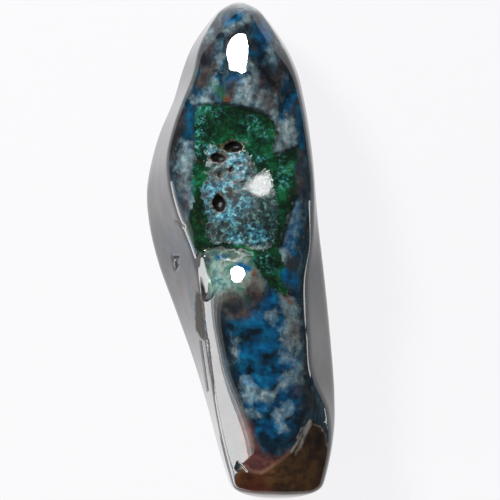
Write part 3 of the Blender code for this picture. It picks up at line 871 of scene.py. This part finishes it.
# The pits' edges wander too, and a rim of earth goes round each.
PIT_WANDER = 0.35
PIT_RIM = (-0.35, -0.15)
PIT_EDGE = (-0.12, 0.08)
pit_map = add_node(finish, "ShaderNodeAttribute", attribute_name="pits").outputs["Fac"]
pit_push = cloud_share(clouds(0.3, 4.0), *NOISE_RANGE, -PIT_WANDER, PIT_WANDER)
ragged = add_node(finish, "ShaderNodeMath", {0: pit_map, 1: pit_push}, operation="ADD").outputs[0]
rim_share, pit_share = (
    add_node(finish, "ShaderNodeMapRange", {0: ragged, 1: low, 2: high}).outputs[0]
    for low, high in (PIT_RIM, PIT_EDGE)
)
rim_tint = mottle(clouds(0.25, 4.0), (0.42, "1C140E"), (0.60, "8A6E50"))
colour = lay_over(colour, rim_tint, rim_share, 0.6)
pit_tint = mottle(clouds(0.3, 4.0), (0.40, "030201"), (0.60, "0B0604"), (0.75, "35261A"))
colour = lay_over(colour, pit_tint, pit_share)
print("material nodes:", len(tree.nodes))

# %% [markdown]
# At the foot the stone is brown earth, reddest at the bottom. Pale streaks painted on its ridges
# stand for the glints of light they catch, and its darkest facet and rims are painted shade. Away
# from the patterned front the stone goes on as dark slate, in which azurite and malachite show as
# cloudy patches that run right through it.

# %% The foot, the flanks and the back
foot = mottle(clouds(1.0, 5.0, 0.6), (0.32, "2A1A0B"), (0.46, "4A3018"), (0.58, "664422"),
              (0.70, "3C4424"))
red = mottle(clouds(0.8, 5.0), (0.36, "2A0A03"), (0.64, "4E1D10"))
foot = lay_over(foot, red, patch_share("red_foot", 0.3, 0.6, 0.9), 0.85)
# Painted shade: near black on the foot's darkest facet and rims.
foot = lay_over(foot, linear("0B0A08"), patch_share("foot_painted_shade", 0.3, 0.5, 0.8), 0.85)
colour = lay_over(colour, foot, patch_share("brown_foot", 0.05, 0.06, 0.5))
colour = lay_over(colour, linear("8A6450"), patch_share("brown_edge", 0.06, 0.10, 0.4), 0.8)
# Painted highlight: pale grey streaks for the glints along the foot's ridges.
glint_grain = cloud_share(clouds(0.35, 5.0, 0.7, 0.0, fibre_mm), 0.40, 0.56, 0.2, 1.0)
glint_share = patch_share("painted_edge_glints", 0.05, 0.06, 0.3, grain=glint_grain)
colour = lay_over(colour, linear("B9B5AE"), glint_share, 0.85)

deep_slate = mottle(clouds(2.2, 6.0, 0.6, 0.5), (0.32, "1B1A1E"), (0.46, "2B292D"),
                    (0.58, "3C383A"), (0.70, "4A4644"))
deep_blue = mottle(clouds(0.9, 6.0, 0.62, 0.3), (0.34, "040C14"), (0.50, "0A2233"),
                   (0.62, "123A4C"), (0.74, "3E616B"))
deep_green = mottle(clouds(0.5, 6.0, 0.65, 0.6), (0.34, "020F08"), (0.50, "063420"),
                    (0.64, "125A38"))
flank = lay_over(deep_slate, deep_blue, cloud_share(clouds(5.0, 6.0, 0.6, 0.8), 0.54, 0.62))
flank = lay_over(flank, deep_green, cloud_share(clouds(4.0, 6.0, 0.6, 1.2), 0.60, 0.65))
marks_share = patch_share("flank_marks", 0.04, 0.06, 0.3)
flank = lay_over(flank, linear("0A0908"), marks_share)
wedge_share = patch_share("rough_wedge", 0.08, 0.10, 0.4)
flank = lay_over(flank, linear("1A170E"), wedge_share)
front_share = patch_share("front_band", 0.05, 0.18, 0.6)
colour = lay_over(flank, colour, front_share)
tree.links.new(colour, shader.inputs["Base Color"])
print("material nodes:", len(tree.nodes))

# %% [markdown]
# The polish is the same on every mineral, with faint marks from the last wheel. The crystals
# and the pits stay rough, and fine bumps break up their shine. The cracks, the unpolished wedge
# and the fold, where malachite fills the seam, stay dull. The index of refraction lies between
# those of quartz and azurite, which is why the flanks shine so much.

# %% Polish
STONE_IOR = 1.70
POLISHED = (0.03, 0.07)
CRYSTAL_ROUGHNESS = 0.45
DULL_ROUGHNESS = 0.9
# How much of that roughness the crystals have: where they are open, and where they were ground.
OPEN_ROUGHNESS, GROUND_ROUGHNESS = 0.9, 0.66
BUMP_HEIGHT = 0.05
BUMP_STRENGTH = 0.6

polish = cloud_share(clouds(0.5, 3.0), *NOISE_RANGE, *POLISHED)
openness = add_node(finish, "ShaderNodeMapRange", {
    0: patch_share("ground_druse", 0.2, 0.5, 0.6), 3: OPEN_ROUGHNESS, 4: GROUND_ROUGHNESS}).outputs[0]
open_druse = add_node(finish, "ShaderNodeMath", {0: druse_share, 1: openness},
                      operation="MULTIPLY").outputs[0]
unpolished = add_node(finish, "ShaderNodeMath", {0: open_druse, 1: pit_share},
                      operation="MAXIMUM").outputs[0]
rough_share = add_node(finish, "ShaderNodeMath", {0: unpolished, 1: front_share},
                       operation="MULTIPLY").outputs[0]

flank_share = add_node(finish, "ShaderNodeMath", {0: 1.0, 1: front_share},
                       operation="SUBTRACT").outputs[0]
marks = add_node(finish, "ShaderNodeMath", {0: wedge_share, 1: marks_share},
                 operation="MAXIMUM").outputs[0]
dull_marks = add_node(finish, "ShaderNodeMath", {0: marks, 1: flank_share},
                      operation="MULTIPLY").outputs[0]
dull_share = add_node(finish, "ShaderNodeMath", {
    0: dull_marks, 1: patch_share("dull_fold", 0.15, 0.12, 0.4)}, operation="MAXIMUM").outputs[0]

roughness = polish
for share, rougher in ((rough_share, CRYSTAL_ROUGHNESS), (dull_share, DULL_ROUGHNESS)):
    roughness = add_node(finish, "ShaderNodeMix", {0: share, 2: roughness, 3: rougher},
                         data_type="FLOAT").outputs[0]
tree.links.new(roughness, shader.inputs["Roughness"])
shader.inputs["IOR"].default_value = STONE_IOR

crystal_faces = add_node(finish, "ShaderNodeTexNoise", clouds(0.14, 3.0)).outputs[0]
bumps = add_node(finish, "ShaderNodeMath", {0: crystal_faces, 1: rough_share},
                 operation="MULTIPLY").outputs[0]
bump = add_node(finish, "ShaderNodeBump", {
    "Height": bumps, "Strength": BUMP_STRENGTH, "Distance": BUMP_HEIGHT * MM})
tree.links.new(bump.outputs[0], shader.inputs["Normal"])

stone.data.materials.clear()
stone.data.materials.append(finish)
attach(stone, "root")
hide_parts("chrysocolla")
print("material nodes:", len(tree.nodes))
